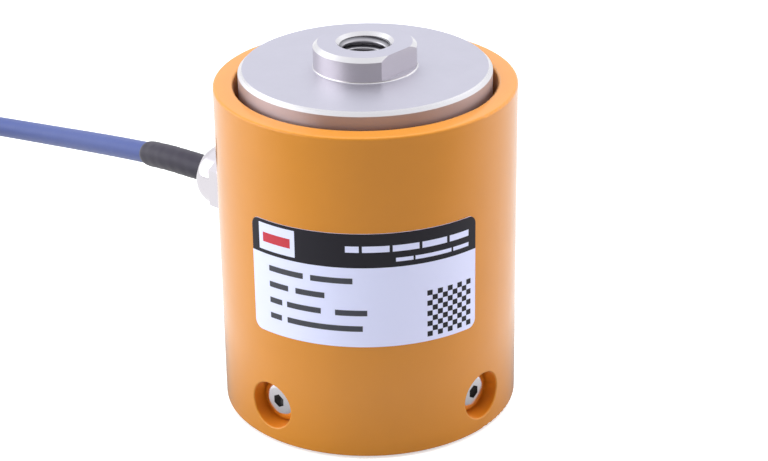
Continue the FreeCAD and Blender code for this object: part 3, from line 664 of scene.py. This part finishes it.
make_thread("top_thread_ridge", BOSS_TOP, -1, TOP_THREAD_DEPTH)
make_thread("base_thread_ridge", BASE_BOTTOM, 1, BASE_THREAD_DEPTH)


# Label print: plain fields and bars on the label's film, in millimetres

SLEEVE_RADIUS, LABEL_RADIUS = 30.0, 30.12
PRINT_MIDDLE = math.radians(-93.33)
PRINT_LIFT = 0.012  # how far each layer of print stands off the one below
PRINT_STEP = 0.8  # longest straight piece of a field's edge
CORNER_STEP = 10  # degrees

LABEL_LEFT, LABEL_RIGHT = -24.82, 22.58
LABEL_CORNER = 1.8

# Each field is (from, to) along the sleeve's skin and (low, high) in height
BAND_FIELD = ((LABEL_LEFT, LABEL_RIGHT), (42.0, 49.1))
BOX_FIELD = ((-22.9, -14.5), (42.8, 48.4))
BOX_BAR_FIELD = ((-21.9, -15.5), (44.5, 46.5))

# Rows of bars: the row's middle, the bars' height, then where each bar starts and ends
HEADER_ROWS = [
    (45.9, 1.3, [(-4.4, -1.8), (-1.2, 4.0), (4.6, 9.8), (10.4, 15.6), (16.2, 20.7)]),
    (43.5, 0.8, [(5.2, 8.6), (9.0, 16.6), (17.0, 20.7)]),
]
DATA_ROWS = [
    (39.2, 1.2, [(-20.6, -12.9), (-11.4, -3.1)]),
    (35.8, 1.2, [(-20.6, -16.2), (-14.6, -8.6)]),
    (32.4, 1.2, [(-20.6, -17.7), (-16.6, -9.4), (-6.6, -0.4)]),
    (29.05, 1.2, [(-20.6, -17.9), (-16.6, -1.3)]),
]

CHECKS_LEFT, CHECKS_BOTTOM, CHECKS_SIDE = 11.36, 26.05, 9.95
CHECKS_IN_ROW = 9


def print_place(across, height, lift):
    """A place on the print, across in millimetres along the sleeve's skin."""
    angle = PRINT_MIDDLE + across / SLEEVE_RADIUS
    radius = LABEL_RADIUS + lift
    return Vector((radius * math.cos(angle), radius * math.sin(angle), height)) * MM


def field_edges(left, right, corner):
    """Where a field is divided, closer together at its rounded corners."""
    steps = max(2, math.ceil((right - left) / PRINT_STEP))
    edges = [left + (right - left) * step / steps for step in range(steps + 1)]
    if not corner:
        return edges
    turns = [math.radians(turn) for turn in range(0, 90 + CORNER_STEP, CORNER_STEP)]
    insets = [corner * (1 - math.cos(turn)) for turn in turns]
    inner = [edge for edge in edges if left + corner < edge < right - corner]
    return [left + inset for inset in insets] + inner + [right - inset for inset in reversed(insets)]


def print_field(mesh, across, height, layer, corner):
    """A curved field; corner rounds its two upper corners."""
    left, right = across
    low, high = height
    lift = PRINT_LIFT * layer
    columns = []
    for edge in field_edges(left, right, corner):
        inset = min(edge - left, right - edge)
        drop = 0.0
        if inset < corner:
            drop = corner - math.sqrt(max(corner**2 - (corner - inset) ** 2, 0))
        bottom = mesh.verts.new(print_place(edge, low, lift))
        top = mesh.verts.new(print_place(edge, high - drop, lift))
        columns.append((bottom, top))
    for near, far in zip(columns, columns[1:]):
        mesh.faces.new((near[0], far[0], far[1], near[1]))


def print_piece(name, fields, surface, layer=1, corner=0.0):
    mesh = bmesh.new()
    for across, height in fields:
        print_field(mesh, across, height, layer, corner)
    return mesh_piece(name, mesh, surface)


def bars(rows):
    """The fields of all the bars in some rows."""
    fields = []
    for middle, tall, spans in rows:
        fields += [(across, (middle - tall / 2, middle + tall / 2)) for across in spans]
    return fields


def checks():
    """The fields of a chequer's dark squares."""
    side = CHECKS_SIDE / CHECKS_IN_ROW
    fields = []
    for column in range(CHECKS_IN_ROW):
        for row in range(CHECKS_IN_ROW):
            if (column + row) % 2 == 0:
                left = CHECKS_LEFT + column * side
                bottom = CHECKS_BOTTOM + row * side
                fields.append(((left, left + side), (bottom, bottom + side)))
    return fields


print_piece("label_band", [BAND_FIELD], print_black, corner=LABEL_CORNER)
print_piece("label_box", [BOX_FIELD], label_film, layer=2)
print_piece("label_box_bar", [BOX_BAR_FIELD], print_red, layer=3)
print_piece("label_header_bars", bars(HEADER_ROWS), label_film, layer=2)
print_piece("label_data_bars", bars(DATA_ROWS), print_grey)
print_piece("label_checks", checks(), print_black)


# Floor: a pale sheet that turns to plain white away from the object; distances are in metres

FLOOR_HALF = 3.0
FLOOR_COLOUR = (0.72, 0.72, 0.73, 1)
FLOOR_ROUGHNESS, FLOOR_SPECULAR = 0.8, 0.1
WHITE = (1, 1, 1, 1)
GLOW_FROM, GLOW_TO = 0.4, 1.4
GLOW_NEAR, GLOW_FAR = 0.6, 1.0

# How bright reflections show the floor: along Y, and dimmed close beside the object as a painted contact
# shadow
MIRRORED_FROM, MIRRORED_TO = -0.1, 0.0
MIRRORED_FRONT, MIRRORED_BACK = 0.46, 1.12
# a painted contact shadow: the floor's mirror image is dimmed close beside the object
CONTACT_SHADOW_FROM, CONTACT_SHADOW_TO = 0.03, 0.055
MIRRORED_CONTACT_SHADOW = 0.25


def make_floor_material():
    material = bpy.data.materials.new("floor")
    material.use_nodes = True
    graph = Graph(material.node_tree)
    sheet = graph.nodes["Principled BSDF"]
    sheet.inputs["Base Color"].default_value = FLOOR_COLOUR
    sheet.inputs["Roughness"].default_value = FLOOR_ROUGHNESS
    sheet.inputs["Specular IOR Level"].default_value = FLOOR_SPECULAR
    sheet.inputs["Emission Color"].default_value = WHITE

    ray = graph.add("LightPath").outputs
    place = graph.add("TexCoord").outputs["Object"]
    distance = graph.length(place)
    glow = graph.ramp(distance, GLOW_FROM, GLOW_TO, GLOW_NEAR, GLOW_FAR)
    seen_glow = graph.math("MULTIPLY", ray["Is Camera Ray"], glow)
    graph.feed(sheet.inputs["Emission Strength"], seen_glow)

    ahead = graph.axes(place)["Y"]
    mirrored = graph.ramp(ahead, MIRRORED_FROM, MIRRORED_TO, MIRRORED_FRONT, MIRRORED_BACK)
    # painted contact shadow in the floor's mirror image, close beside the object
    painted_contact_shadow = graph.ramp(distance, CONTACT_SHADOW_FROM, CONTACT_SHADOW_TO, MIRRORED_CONTACT_SHADOW, 1.0)
    mirror_image = graph.add("Emission")
    graph.feed(mirror_image.inputs["Strength"], graph.math("MULTIPLY", mirrored, painted_contact_shadow))
    shown = graph.join(
        graph.add("MixShader"),
        ray["Is Glossy Ray"],
        sheet.outputs["BSDF"],
        mirror_image.outputs["Emission"],
    )
    graph.feed(graph.nodes["Material Output"].inputs["Surface"], shown)
    return material


floor_mesh = bpy.data.meshes.new("floor")
floor_corners = [(x * FLOOR_HALF, y * FLOOR_HALF, 0) for x, y in ((-1, -1), (1, -1), (1, 1), (-1, 1))]
floor_mesh.from_pydata(floor_corners, [], [(0, 1, 2, 3)])
floor_mesh.materials.append(make_floor_material())
floor = bpy.data.objects.new("floor", floor_mesh)
scene.collection.objects.link(floor)


# Studio: white behind the object, a dim fill, and for reflections a white tent that is dimmer in front

FILL_COLOUR, FILL_LIGHT = (0.96, 0.965, 1.0, 1), 0.2
TENT_COLOUR = (0.98, 0.98, 1.0, 1)

# Parts of the tent's brightness: an axis, then the light at the two ends of a range of directions
TENT = [
    ("Y", (-0.9, 0.5), (0.46, 1.0)),
    ("Z", (0.45, 0.95), (0.0, 0.3)),
    ("X", (-0.6, -0.95), (0.0, 1.8)),
    ("X", (0.6, 0.95), (0.0, 0.4)),
]

# Softboxes: place, size, power and colour of each
SOFTBOXES = {
    "left_box": ((-0.8, -0.1, 0.4), (0.6, 0.8), 7.2, (0.93, 1.0, 1.0)),
    "right_box": ((0.8, 0.0, 0.4), (0.6, 0.8), 5.1, (1.0, 1.0, 1.0)),
    "top_box": ((0.0, 0.1, 0.95), (0.9, 0.7), 11.0, (0.95, 1.0, 1.0)),
}
SOFTBOX_AIM = Vector((0, 0, 0.04))


def make_world():
    world = bpy.data.worlds.new("studio")
    world.use_nodes = True
    sky = Graph(world.node_tree)
    fill = sky.nodes["Background"]
    fill.inputs["Color"].default_value = FILL_COLOUR
    fill.inputs["Strength"].default_value = FILL_LIGHT
    white = sky.add("Background")
    white.inputs["Color"].default_value = WHITE
    tent = sky.add("Background")
    tent.inputs["Color"].default_value = TENT_COLOUR
    direction = sky.axes(sky.add("TexCoord").outputs["Generated"])
    brightness = 0.0
    for axis, ends, light in TENT:
        share = sky.ramp(direction[axis], *ends, *light, interpolation_type="SMOOTHSTEP")
        brightness = sky.math("ADD", brightness, share)
    sky.feed(tent.inputs["Strength"], brightness)

    ray = sky.add("LightPath").outputs
    shown = fill.outputs["Background"]
    for kind, background in (("Glossy", tent), ("Transmission", white), ("Camera", white)):
        choice = sky.add("MixShader")
        shown = sky.join(choice, ray[f"Is {kind} Ray"], shown, background.outputs["Background"])
    sky.feed(sky.nodes["World Output"].inputs["Surface"], shown)
    return world


def add_softbox(name, place, size, power, colour):
    lamp = bpy.data.lights.new(name, "AREA")
    lamp.shape = "RECTANGLE"
    lamp.size, lamp.size_y = size
    lamp.energy = power
    lamp.color = colour
    obj = bpy.data.objects.new(name, lamp)
    obj.location = place
    obj.rotation_euler = (SOFTBOX_AIM - Vector(place)).to_track_quat("-Z", "Y").to_euler()
    obj.visible_glossy = False
    scene.collection.objects.link(obj)


scene.world = make_world()
for box_name, settings in SOFTBOXES.items():
    add_softbox(box_name, *settings)

scene.view_settings.view_transform = "Standard"
